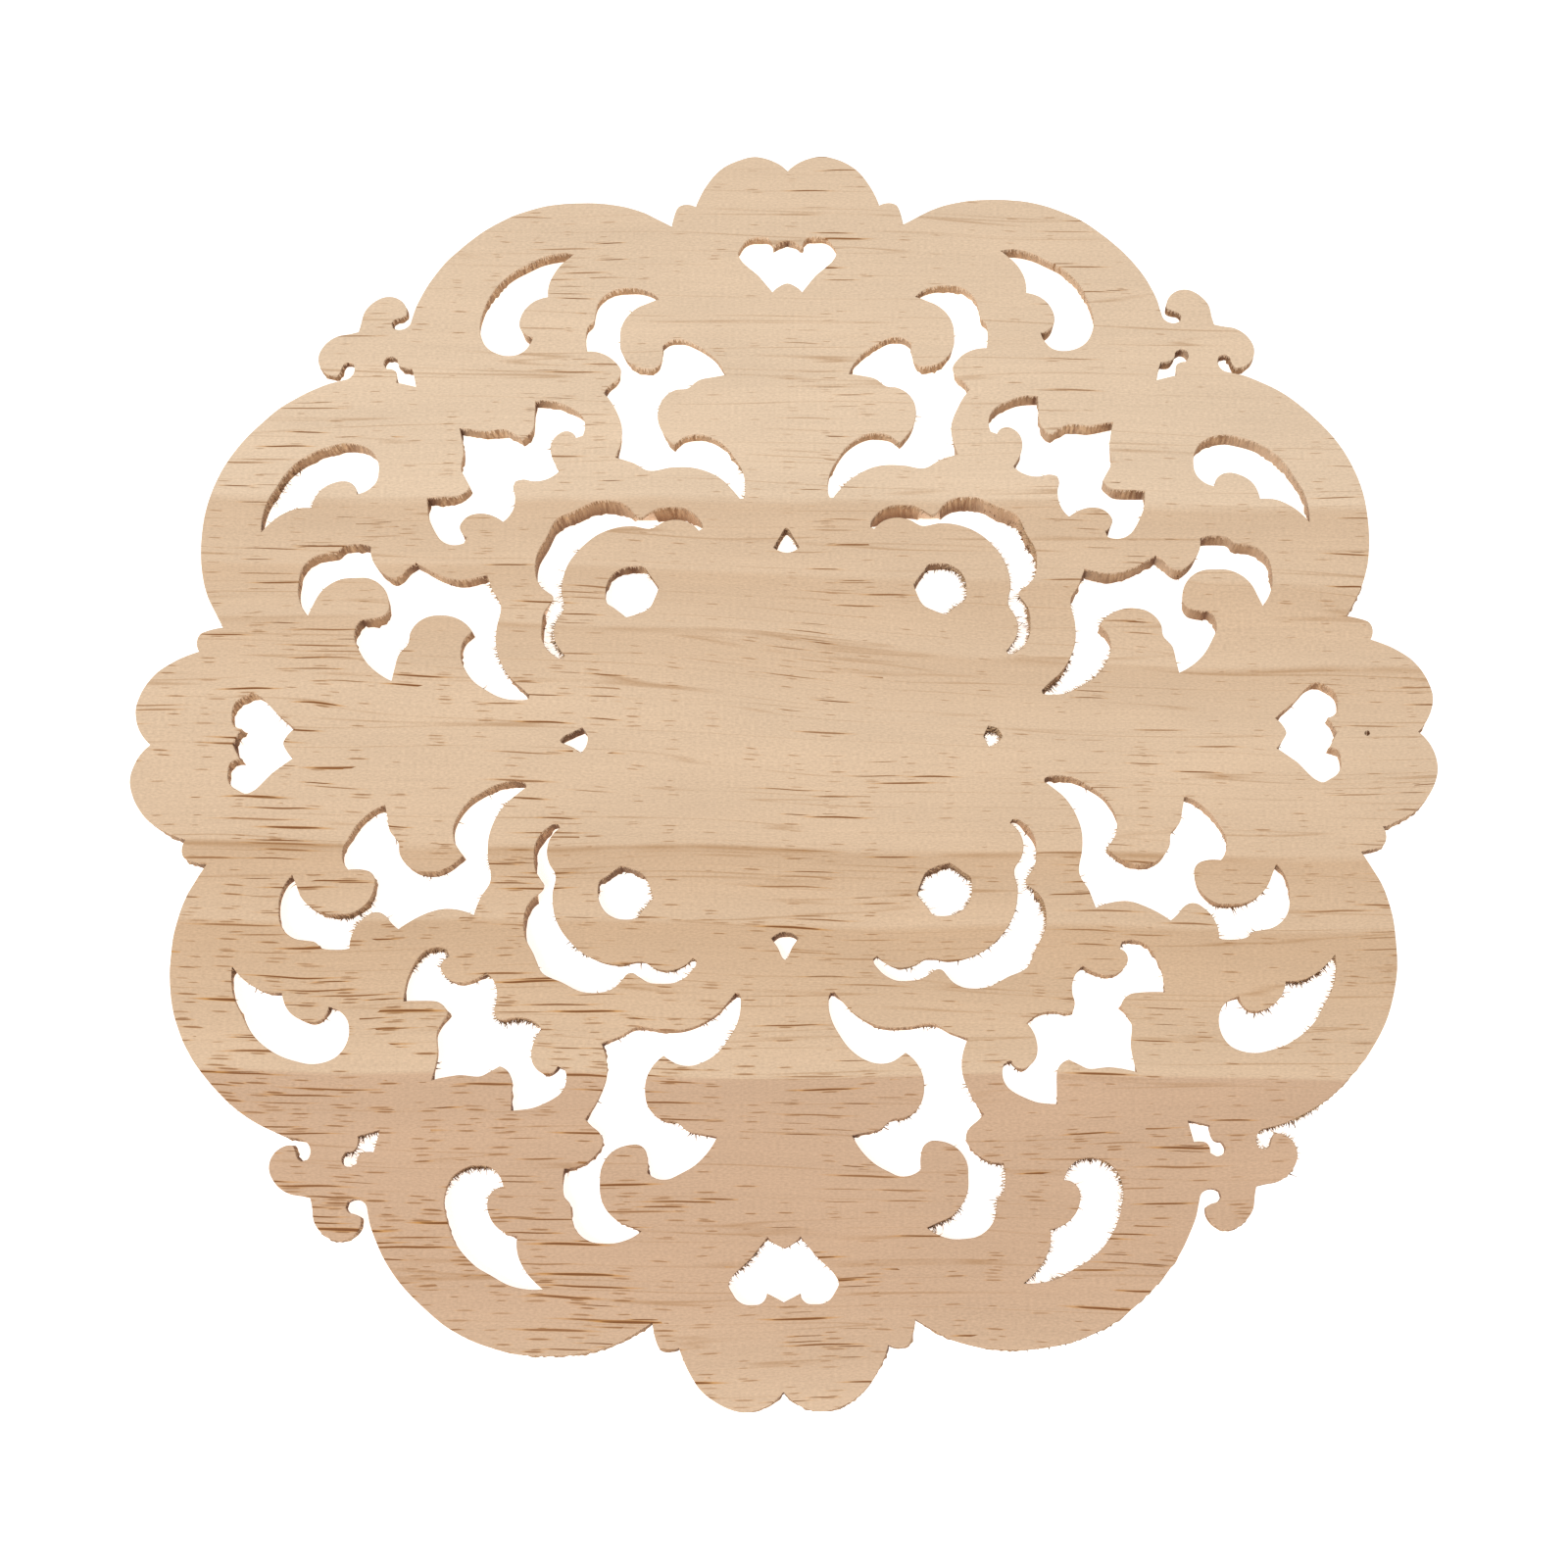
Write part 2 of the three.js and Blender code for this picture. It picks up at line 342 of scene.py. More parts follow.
def rows_inside(outlines, spacing):
    """Points of a staggered grid that lie in the wood."""
    starts = np.vstack([o.points for o in outlines])
    ends = np.vstack([np.roll(o.points, -1, 0) for o in outlines])
    found = []
    row_height = spacing * math.sqrt(3) / 2
    for row in range(-int(HALF_WIDTH / row_height), int(HALF_WIDTH / row_height) + 1):
        y = row * row_height + 0.01
        crossing = (starts[:, 1] > y) != (ends[:, 1] > y)
        a, b = starts[crossing], ends[crossing]
        cuts = np.sort(a[:, 0] + (y - a[:, 1]) * (b[:, 0] - a[:, 0]) / (b[:, 1] - a[:, 1]))
        xs = np.arange(-HALF_WIDTH, HALF_WIDTH, spacing) + (row % 2) * spacing / 2
        inside = np.searchsorted(cuts, xs) % 2 == 1
        found.append(np.c_[xs[inside], np.full(inside.sum(), y)])
    return np.vstack(found)


def fill(outlines, extra):
    """Triangles between the outlines, as rows of point numbers, extra points after the outlines' own."""
    points = np.vstack([*outlines, extra] if len(extra) else outlines)
    edges = edges_along(outlines)
    result = delaunay_2d_cdt([Vector(p) for p in points], edges, [], 1, 1e-7, True)
    if len(result[0]) != len(points):
        raise RuntimeError("an outline crosses itself or another one")
    name_of = [ids[0] for ids in result[3]]
    faces = np.array([[name_of[i] for i in face] for face in result[2]])
    a, b, c = (points[faces[:, k]] for k in range(3))
    side = (b - a)[:, 0] * (c - a)[:, 1] - (b - a)[:, 1] * (c - a)[:, 0]
    faces[side < 0] = faces[side < 0][:, ::-1]
    # The wood is on the left of every outline, so a face on a right side is in an opening.
    follows = set(edges)
    by_edge = {}
    for number, face in enumerate(faces):
        for k in range(3):
            by_edge[(face[k], face[(k + 1) % 3])] = number
    kept = np.zeros(len(faces), bool)
    waiting = [by_edge[edge] for edge in follows if edge in by_edge]
    kept[waiting] = True
    while waiting:
        face = faces[waiting.pop()]
        for k in range(3):
            edge = (face[k], face[(k + 1) % 3])
            back = by_edge.get((edge[1], edge[0]))
            if edge not in follows and back is not None and not kept[back]:
                kept[back] = True
                waiting.append(back)
    return faces[kept]


# Materials


def linear(colour):
    """Linear red, green and blue, and an alpha of 1, of an sRGB hex colour."""
    channels = [int(colour[i : i + 2], 16) / 255 for i in (1, 3, 5)]
    return [c / 12.92 if c <= 0.04045 else ((c + 0.055) / 1.055) ** 2.4 for c in channels] + [1]


def add(tree, kind, values, **settings):
    """Adds a node with its settings. Each value is a number, a colour, or a socket to link, and
    a node stands for its first output."""
    node = tree.nodes.new("ShaderNode" + kind)
    for name, setting in settings.items():
        setattr(node, name, setting)
    for key, value in values.items():
        if isinstance(value, bpy.types.Node):
            value = value.outputs[0]
        if isinstance(value, bpy.types.NodeSocket):
            tree.links.new(value, node.inputs[key])
        else:
            node.inputs[key].default_value = value
    return node


def stretched_noise(tree, place, scale, detail, turn=0):
    """Adds noise that changes over 1 / scale millimetres each way, and gives its socket."""
    mapped = add(tree, "Mapping", {"Vector": place, "Rotation": (0, 0, turn), "Scale": scale})
    noisy = add(tree, "TexNoise", {"Vector": mapped, "Scale": 1.0, "Detail": detail})
    return noisy.outputs["Fac"]


def new_material(name):
    material = bpy.data.materials.new(name)
    material.use_nodes = True
    material.node_tree.nodes.clear()
    return material, material.node_tree


def finish_material(tree, colour, roughness, height, relief):
    """Ends a material: relief is the height in millimetres that a height of 1 stands for."""
    bump = add(tree, "Bump", {"Strength": 1.0, "Distance": relief * MM, "Height": height})
    shader = add(
        tree, "BsdfPrincipled", {"Base Color": colour, "Roughness": roughness, "Normal": bump, "IOR": 1.5}
    )
    shader.inputs["Specular IOR Level"].default_value = 0.3
    add(tree, "OutputMaterial", {"Surface": shader})


# Growth rings cross the board as thin lines: the wood grows darker up to each line and starts pale
# again above it. Each ring: height on the board in millimetres, share of latewood just below and
# just above it, and how dark its line is
RINGS = (
    (-112, 0.65, 0.6, 0.35), (-78.0, 0.55, 0.4, 0.6), (-44, 0.85, 0.45, 0.6), (-27, 0.8, 0.4, 0.7),
    (5, 0.3, 0.3, 0), (23.6, 0.55, 0.3, 0.9), (40.2, 0.6, 0.3, 0.75), (58.4, 0.5, 0, 0.7),
    (84, 0, 0, 0.3), (101, 0.05, 0.05, 0.3),
)
LOWEST_TONE = 0.3
HIGHEST_TONE = 0.15
RING_EDGE = 0.6
LINE_HALF = 0.25
# The board's grain runs a little downhill from left to right.
GRAIN_SLOPE = 0.022
# The pinker wood at the lower end starts here.
ROSY_TOP = -78
ROSY_EDGE = 0.4

# Length and width of the streaks in the wood and how far each changes its tone. The fibres
# themselves, 1 mm by 0.02 mm, are too fine to show, so the finest streaks are drawn coarser.
STREAKS = ((70, 11, 0.045), (24, 0.8, 0.035), (0.9, 0.32, 0.13))

# Pores cut lengthwise show as brown dashes. Each row: spacing along and across the grain, half
# size as a share of that, share of places with one, darkness, and a shift that sets it apart.
PORES = (
    (9, 0.75, 0.14, 0.22, 0.6, 3.0),
    (62, 1.3, 0.08, 0.29, 1.05, 11.0),
    (66, 2.2, 0.065, 0.42, 1.4, 27.0),
)

# The camera's right, up and backward axes, and its place in metres
CAMERA_AXES = (
    (0.999891, -0.013100, 0.006805),
    (0.010670, 0.959891, 0.280170),
    (-0.010202, -0.280067, 0.959926),
)
CAMERA_PLACE = (0.027641, -0.163464, 0.549139)
CAMERA_LENS = 57.08
CAMERA_SHIFT = (-0.09389, -0.02166)

# The floor and the key light, in metres: the floor lies just below the carved front
FLOOR_SIZE = 8
FLOOR_GAP = 0.0002
KEY_SIZE = 0.8
KEY_PLACE = (-0.35, -0.62, 1.9)


def wood_figure(tree, colours):
    """The figure of a flat-sawn rubberwood board: nodes for its place, colour and relief."""
    place = add(tree, "TexCoord", {})
    scaled = add(tree, "VectorMath", {0: place.outputs["Object"], "Scale": 1 / MM}, operation="SCALE")
    x, y, z = add(tree, "SeparateXYZ", {0: scaled}).outputs

    # Height across the grain, bent by a slow wander and by the sweep across the middle
    drift = stretched_noise(tree, scaled, (1 / 90, 1 / 24, 1 / 40), 1.0)
    drift = add(
        tree, "MapRange", {"Value": drift, "From Min": 0.2, "From Max": 0.8, "To Min": -1.8, "To Max": 1.8}
    )
    run = add(tree, "Math", {0: x, 1: GRAIN_SLOPE, 2: y}, operation="MULTIPLY_ADD")
    bent = add(tree, "Math", {0: run, 1: drift}, operation="ADD")
    sweep = add(tree, "Math", {0: x, 1: 1 / 60}, operation="MULTIPLY")
    sweep = add(tree, "Math", {0: sweep}, operation="TANH")
    offset = add(tree, "Math", {0: y, 1: 1 / 20, 2: -18 / 20}, operation="MULTIPLY_ADD")
    square = add(tree, "Math", {0: offset, 1: offset}, operation="MULTIPLY")
    minus = add(tree, "Math", {0: square, 1: -1.0}, operation="MULTIPLY")
    fade = add(tree, "Math", {0: minus}, operation="EXPONENT")
    sweep = add(tree, "Math", {0: sweep, 1: fade}, operation="MULTIPLY")
    level = add(tree, "Math", {0: sweep, 1: 6.0, 2: bent}, operation="MULTIPLY_ADD")
    grain = add(tree, "CombineXYZ", {"X": x, "Y": level, "Z": z})

    # Growth rings: their tone, and the darker line that some of them draw
    share = add(tree, "MapRange", {"Value": level, "From Min": -HALF_WIDTH, "From Max": HALF_WIDTH})
    tones, lines = [(-HALF_WIDTH, LOWEST_TONE)], [(-HALF_WIDTH, 0)]
    for height, below, above, dark in RINGS:
        tones += [(height - RING_EDGE, below), (height + RING_EDGE, above)]
        lines += [(height - LINE_HALF, 0), (height, dark), (height + LINE_HALF, 0)]
    tones.append((HALF_WIDTH, HIGHEST_TONE))
    lines.append((HALF_WIDTH, 0))
    ramps = []
    for rows in (tones, lines):
        ramp = add(tree, "ValToRGB", {"Fac": share})
        stops = ramp.color_ramp.elements
        for number, (height, value) in enumerate(rows):
            if number in (0, len(rows) - 1):
                stop = stops[0 if number == 0 else -1]
            else:
                stop = stops.new((height / HALF_WIDTH + 1) / 2)
            stop.color = (value, value, value, 1)
        ramps.append(ramp.outputs["Color"])
    early_late = add(
        tree, "Mix", {"Factor": ramps[0], "A": colours.earlywood, "B": colours.latewood}, data_type="RGBA"
    )
    lower = add(
        tree,
        "MapRange",
        {
            "Value": level,
            "From Min": ROSY_TOP - ROSY_EDGE,
            "From Max": ROSY_TOP + ROSY_EDGE,
            "To Min": 1.0,
            "To Max": 0.0,
        },
    )
    fades = add(
        tree,
        "MapRange",
        {"Value": y, "From Min": -148.0, "From Max": -126.0, "To Min": 0.25, "To Max": 0.62},
    )
    rosiness = add(tree, "Math", {0: lower, 1: fades}, operation="MULTIPLY")
    rosy = add(
        tree,
        "Mix",
        {"Factor": rosiness, "A": early_late.outputs["Result"], "B": colours.rosy},
        data_type="RGBA",
    )
    colour = rosy.outputs["Result"]

    for length, width, depth in STREAKS:
        streaks = stretched_noise(tree, grain, (1 / length, 1 / width, 1 / width), 3.0)
        tone = add(
            tree,
            "MapRange",
            {
                "Value": streaks,
                "From Min": 0.25,
                "From Max": 0.75,
                "To Min": 1 - depth,
                "To Max": 1 + depth,
            },
        )
        colour = add(tree, "VectorMath", {0: colour, "Scale": tone}, operation="SCALE")
    fibre_height = streaks

    # Ring lines come and go along the grain, and thin ones lie between them.
    breaks = stretched_noise(tree, grain, (1 / 26, 1 / 4, 1 / 10), 2.0)
    shown = add(tree, "MapRange", {"Value": breaks, "From Min": 0.38, "From Max": 0.6})
    thin = stretched_noise(tree, grain, (1 / 300, 1 / 7, 1 / 60), 2.0)
    thin = add(tree, "Math", {0: thin, 1: 0.5}, operation="SUBTRACT")
    thin = add(tree, "Math", {0: thin}, operation="ABSOLUTE")
    thin = add(
        tree, "MapRange", {"Value": thin, "From Min": 0.0, "From Max": 0.01, "To Min": 0.5, "To Max": 0.0}
    )
    drawn = add(tree, "Math", {0: thin, 1: ramps[1]}, operation="MAXIMUM")
    drawn = add(tree, "Math", {0: drawn, 1: shown}, operation="MULTIPLY")
    ringed = add(tree, "Mix", {"Factor": drawn, "A": colour, "B": colours.ring_line}, data_type="RGBA")
    colour = ringed.outputs["Result"]

    # Pores wander a little across the grain, and crowd together in places.
    waver = stretched_noise(tree, grain, (1 / 16, 1 / 6, 1), 1.0)
    wavy = add(tree, "CombineXYZ", {"Y": waver})
    wavy = add(tree, "VectorMath", {0: grain, 1: wavy}, operation="ADD")
    crowd = stretched_noise(tree, grain, (1 / 60, 1 / 13, 1), 2.0)
    crowd = add(
        tree, "MapRange", {"Value": crowd, "From Min": 0.35, "From Max": 0.65, "To Min": 0.3, "To Max": 1.7}
    )
    # The lower half has more and darker pores, and most of all its left side.
    bolder = add(
        tree,
        "MapRange",
        {"Value": level, "From Min": -80.0, "From Max": 50.0, "To Min": 1.3, "To Max": 0.7},
    )
    lefter = add(
        tree, "MapRange", {"Value": x, "From Min": -90.0, "From Max": 10.0, "To Min": 1.45, "To Max": 1.0}
    )
    corner = add(tree, "Math", {0: bolder, 1: lefter}, operation="MULTIPLY")
    crowd = add(tree, "Math", {0: crowd, 1: corner}, operation="MULTIPLY")
    darker = add(
        tree,
        "MapRange",
        {"Value": corner, "From Min": 0.8, "From Max": 1.75, "To Min": 0.75, "To Max": 1.25},
    )
    longer = add(
        tree, "MapRange", {"Value": corner, "From Min": 0.8, "From Max": 1.75, "To Min": 0.9, "To Max": 1.4}
    )
    pore_depth = None
    for spacing, apart, thick, present, dark, shift in PORES:
        stretched = add(
            tree,
            "Mapping",
            {
                "Vector": wavy,
                "Location": (shift, shift, 0),
                "Scale": (1 / spacing, 1 / apart, 1),
            },
        )
        cells = add(
            tree,
            "TexVoronoi",
            {"Vector": stretched, "Scale": 1.0, "Randomness": 1.0},
            voronoi_dimensions="2D",
        )
        pick = add(tree, "SeparateColor", {0: cells.outputs["Color"]})
        chance = add(tree, "Math", {0: crowd, 1: present}, operation="MULTIPLY")
        there = add(tree, "Math", {0: pick.outputs[0], 1: chance}, operation="LESS_THAN")
        size = add(
            tree, "MapRange", {"Value": pick.outputs[1], "To Min": 0.5 * thick, "To Max": 1.5 * thick}
        )
        size = add(tree, "Math", {0: size, 1: longer}, operation="MULTIPLY")
        ratio = add(tree, "Math", {0: cells.outputs["Distance"], 1: size}, operation="DIVIDE")
        strength = add(tree, "MapRange", {"Value": pick.outputs[2], "To Min": 0.4 * dark, "To Max": dark})
        strength = add(tree, "Math", {0: strength, 1: there}, operation="MULTIPLY")
        strength = add(tree, "Math", {0: strength, 1: darker}, operation="MULTIPLY")
        # An orange rim, then the dark pore itself
        marks = ((1.6, 0.9, 0.6, colours.pore_rim), (1.0, 0.75, 1.0, colours.pore))
        for reach, edge, most, tint in marks:
            dash = add(
                tree,
                "MapRange",
                {
                    "Value": ratio,
                    "From Min": edge,
                    "From Max": reach,
                    "To Min": most,
                    "To Max": 0.0,
                },
                interpolation_type="SMOOTHSTEP",
            )
            mark = add(tree, "Math", {0: dash, 1: strength}, operation="MULTIPLY")
            marked = add(tree, "Mix", {"Factor": mark, "A": colour, "B": tint}, data_type="RGBA")
            colour = marked.outputs["Result"]
        if pore_depth is None:
            pore_depth = mark
        else:
            pore_depth = add(tree, "Math", {0: pore_depth, 1: mark}, operation="MAXIMUM")
    relief = add(tree, "Math", {0: fibre_height, 1: pore_depth}, operation="SUBTRACT")
    return scaled, colour, relief


def sanded_back(colours):
    """Rubberwood planed and sanded flat: dull, with open pores and faint slanting scratches."""
    material, tree = new_material("rubberwood_sanded")
    millimetres, colour, relief = wood_figure(tree, colours)
    scratch = stretched_noise(tree, millimetres, (1 / 0.5, 1 / 12, 1), 2.0, math.radians(68))
    where = stretched_noise(tree, millimetres, (1 / 30, 1 / 30, 1), 2.0)
    depth = add(tree, "Math", {0: scratch, 1: where}, operation="MULTIPLY")
    height = add(tree, "Math", {0: relief, 1: depth}, operation="ADD")
    fuzz = add(
        tree,
        "MapRange",
        {"Value": depth, "From Min": 0.1, "From Max": 0.42, "To Min": 0.98, "To Max": 1.02},
    )
    rubbed = add(tree, "VectorMath", {0: colour, "Scale": fuzz}, operation="SCALE")
    roughness = add(tree, "MapRange", {"Value": where, "To Min": 0.6, "To Max": 0.8})
    finish_material(tree, rubbed, roughness, height, 0.05)
    return material


def sawn_edge(colours):
    """Rubberwood cut across by a scroll saw: brown and streaked upright by the teeth."""
    material, tree = new_material("rubberwood_sawn")
    millimetres, colour, relief = wood_figure(tree, colours)
    teeth = stretched_noise(tree, millimetres, (1.7, 1.7, 0.1), 3.0)
    teeth = add(tree, "MapRange", {"Value": teeth, "From Min": 0.36, "From Max": 0.64})
    # Some lengths of the cut are combed by the teeth, others are smooth.
    combed = stretched_noise(tree, millimetres, (1 / 12, 1 / 12, 1 / 12), 1.0)
    combed = add(
        tree,
        "MapRange",
        {"Value": combed, "From Min": 0.4, "From Max": 0.58, "To Min": 0.25, "To Max": 1.1},
    )
    teeth = add(tree, "Math", {0: teeth, 1: 0.5}, operation="SUBTRACT")
    teeth = add(tree, "Math", {0: teeth, 1: combed, 2: 0.42}, operation="MULTIPLY_ADD")
    fuzz = stretched_noise(tree, millimetres, (2.6, 2.6, 1.6), 3.0)
    brown = add(
        tree, "Mix", {"Factor": teeth, "A": colours.tooth_dark, "B": colours.tooth_pale}, data_type="RGBA"
    )
    speckled = add(
        tree,
        "Mix",
        {"Factor": 0.35, "A": brown.outputs["Result"], "B": fuzz},
        data_type="RGBA",
        blend_type="OVERLAY",
    )
    # Lower down each wall, from 2 mm below the glue face, the colour darkens towards the scorch brown:
    # painted shade deep in the openings.
    below = add(tree, "Attribute", {}, attribute_name="below_arris").outputs["Fac"]
    painted_depth_shade = add(
        tree, "MapRange", {"Value": below, "From Min": 2.0, "From Max": 6.5, "To Min": 0.0, "To Max": 0.75}
    )
    scorch = add(tree, "Attribute", {}, attribute_name="scorch")
    # heat, and burnt after it, carry both the real burn from the scorch attribute and the painted shade
    # lower down the walls.
    heat = add(tree, "Math", {0: scorch.outputs["Fac"], 1: painted_depth_shade}, operation="MAXIMUM")
    burnt = add(
        tree,
        "Mix",
        {"Factor": heat, "A": speckled.outputs["Result"], "B": colours.scorch},
        data_type="RGBA",
    )
    # Clean wood reaches down into the cut in short hairs.
    hairs = stretched_noise(tree, millimetres, (2.8, 2.8, 0.2), 2.0)
    hairs = add(
        tree, "MapRange", {"Value": hairs, "From Min": 0.42, "From Max": 0.7, "To Min": 0.0, "To Max": -2.0}
    )
    below = add(tree, "Math", {0: below, 1: hairs}, operation="ADD")
    clean = add(
        tree,
        "MapRange",
        {"Value": below, "From Min": 0.02, "From Max": 0.3},
        interpolation_type="SMOOTHSTEP",
    )
    # Torn fibres keep the colour of clean wood.
    frayed = add(tree, "Attribute", {}, attribute_name="frayed")
    cut = add(tree, "MapRange", {"Value": frayed.outputs["Fac"], "To Min": 1.0, "To Max": 0.4})
    cut = add(tree, "Math", {0: clean, 1: cut}, operation="MULTIPLY")
    edge = add(tree, "Mix", {"Factor": cut, "A": colour, "B": burnt.outputs["Result"]}, data_type="RGBA")
    height = add(tree, "Math", {0: teeth, 1: fuzz}, operation="ADD")
    height = add(tree, "Math", {0: height, 1: relief}, operation="ADD")
    finish_material(tree, edge.outputs["Result"], 0.85, height, 0.12)
    return material


def carved_front(colours):
    """Rubberwood cut with gouges: clean and slightly burnished, with a groove beside each edge."""
    material, tree = new_material("rubberwood_carved")
    millimetres, colour, relief = wood_figure(tree, colours)
    distance = add(tree, "Attribute", {}, attribute_name="edge_distance")
    off_groove = add(tree, "Math", {0: distance.outputs["Fac"], 1: 3.3}, operation="SUBTRACT")
    off_groove = add(tree, "Math", {0: off_groove}, operation="ABSOLUTE")
    groove = add(
        tree,
        "MapRange",
        {"Value": off_groove, "From Min": 0.0, "From Max": 0.45, "To Min": 1.0, "To Max": 0.0},
        interpolation_type="SMOOTHSTEP",
    )
    cuts = add(tree, "Mapping", {"Vector": millimetres, "Scale": (1 / 2.2, 1 / 2.2, 1 / 2.2)})
    cuts = add(tree, "TexVoronoi", {"Vector": cuts, "Scale": 1.0, "Randomness": 0.8}, feature="SMOOTH_F1")
    shaded = add(tree, "Mix", {"Factor": groove, "A": colour, "B": colours.tooth_pale}, data_type="RGBA")
    height = add(tree, "Math", {0: cuts.outputs["Distance"], 1: groove}, operation="SUBTRACT")
    fine = add(tree, "Math", {0: relief, 1: 0.2}, operation="MULTIPLY")
    height = add(tree, "Math", {0: height, 1: fine}, operation="ADD")
    finish_material(tree, shaded.outputs["Result"], 0.6, height, 0.22)
    return material


def torn_fibre(colours):
    """Strands of wood torn loose by the saw: dry, pale and without shine."""
    material, tree = new_material("rubberwood_torn")
    place = add(tree, "TexCoord", {})
    varied = add(tree, "TexNoise", {"Vector": place.outputs["Object"], "Scale": 900.0})
    darkness = add(tree, "Attribute", {}, attribute_name="darkness")
    colour = add(
        tree,
        "Mix",
        {
            "Factor": darkness.outputs["Fac"],
            "A": colours.tooth_pale,
            "B": colours.scorch,
        },
        data_type="RGBA",
    )
    finish_material(tree, colour.outputs["Result"], 0.9, varied.outputs["Fac"], 0.02)
    return material


# Sizes and colours that a user may change


def size_in_mm(name, description, default):
    """A length, in metres as Blender keeps it, with its default given in millimetres."""
    return FloatProperty(
        name=name, description=description, default=default * MM, min=0, precision=5, unit="LENGTH"
    )


def hex_colour(name, description, default):
    """A colour with its default given as an sRGB hex value."""
    return FloatVectorProperty(
        name=name, description=description, default=linear(default), size=4, min=0, max=1, subtype="COLOR"
    )


class BoardSizes(bpy.types.PropertyGroup):
    """Sizes of the sawn and carved board."""

    outline_step: size_in_mm("Outline step", "Spacing of points along the sawn outlines", 0.62)
    front_step: size_in_mm("Front step", "Spacing of points on the carved front", 1.5)
    arris: size_in_mm("Arris", "Radius of the softened edge of the glue face", 0.16)
    saw_wander: size_in_mm("Saw wander", "How far the saw strays from its line", 0.1)
    tooth_mark: size_in_mm("Tooth mark", "Depth of the upright marks of the saw's teeth", 0.07)
    lean: size_in_mm("Lean", "How far the blade leaned over the thickness of the openings", 0.35)
    undercut: size_in_mm("Undercut", "How far the openings' sides draw back below", 0.5)
    burr: size_in_mm("Burr", "How far torn wood stands out of the lower edges", 0.38)


class WoodColours(bpy.types.PropertyGroup):
    """Colours of the bare wood."""

    earlywood: hex_colour("Earlywood", "Pale wood between the growth rings", "#E7CCAE")
    latewood: hex_colour("Latewood", "Darker wood at the growth rings", "#CEAA86")
    rosy: hex_colour("Rosy wood", "Pinker wood at the lower end", "#C9A385")
    ring_line: hex_colour("Ring line", "Lines that the growth rings draw", "#A8763F")
    pore: hex_colour("Pore", "Pores cut lengthwise", "#865228")
    pore_rim: hex_colour("Pore rim", "Orange wood around a pore", "#CC9049")
    tooth_dark: hex_colour("Dark tooth mark", "Hollows of the saw marks", "#97704E")
    tooth_pale: hex_colour("Pale tooth mark", "Ridges of the saw marks", "#DAB68E")
    # Lower down the sawn walls this brown also serves as painted shade.
    scorch: hex_colour("Scorch", "Wood burnt by the saw", "#704A2F")


class StrandSizes(bpy.types.PropertyGroup):
    """Numbers and sizes of the strands that the saw tore loose."""

    fibres: IntProperty(name="Fibres", description="Number of torn fibres", default=3100, min=1)
    crumbs: IntProperty(name="Crumbs", description="Number of crumbs on the walls", default=2100, min=1)
    strands: IntProperty(name="Strands", description="Number of long thin strands", default=110, min=1)
    length: size_in_mm("Length", "Usual length of a torn fibre", 0.85)
    longest: size_in_mm("Longest", "Length of the longest strands", 3.0)
    thickness: size_in_mm("Thickness", "Thickness of a fibre at its root", 0.34)


class StudioSettings(bpy.types.PropertyGroup):
    """Floor and lights of the studio."""

    floor: hex_colour("Floor", "Colour of the opal light table", "#F4F4F3")
    glow: FloatProperty(name="Glow", description="Light from within the table", default=0.68)
    key_power: FloatProperty(name="Key", description="Power of the key light", default=24.1, unit="POWER")
    fill: FloatProperty(name="Fill", description="Strength of the even light around", default=0.475)


# The pieces


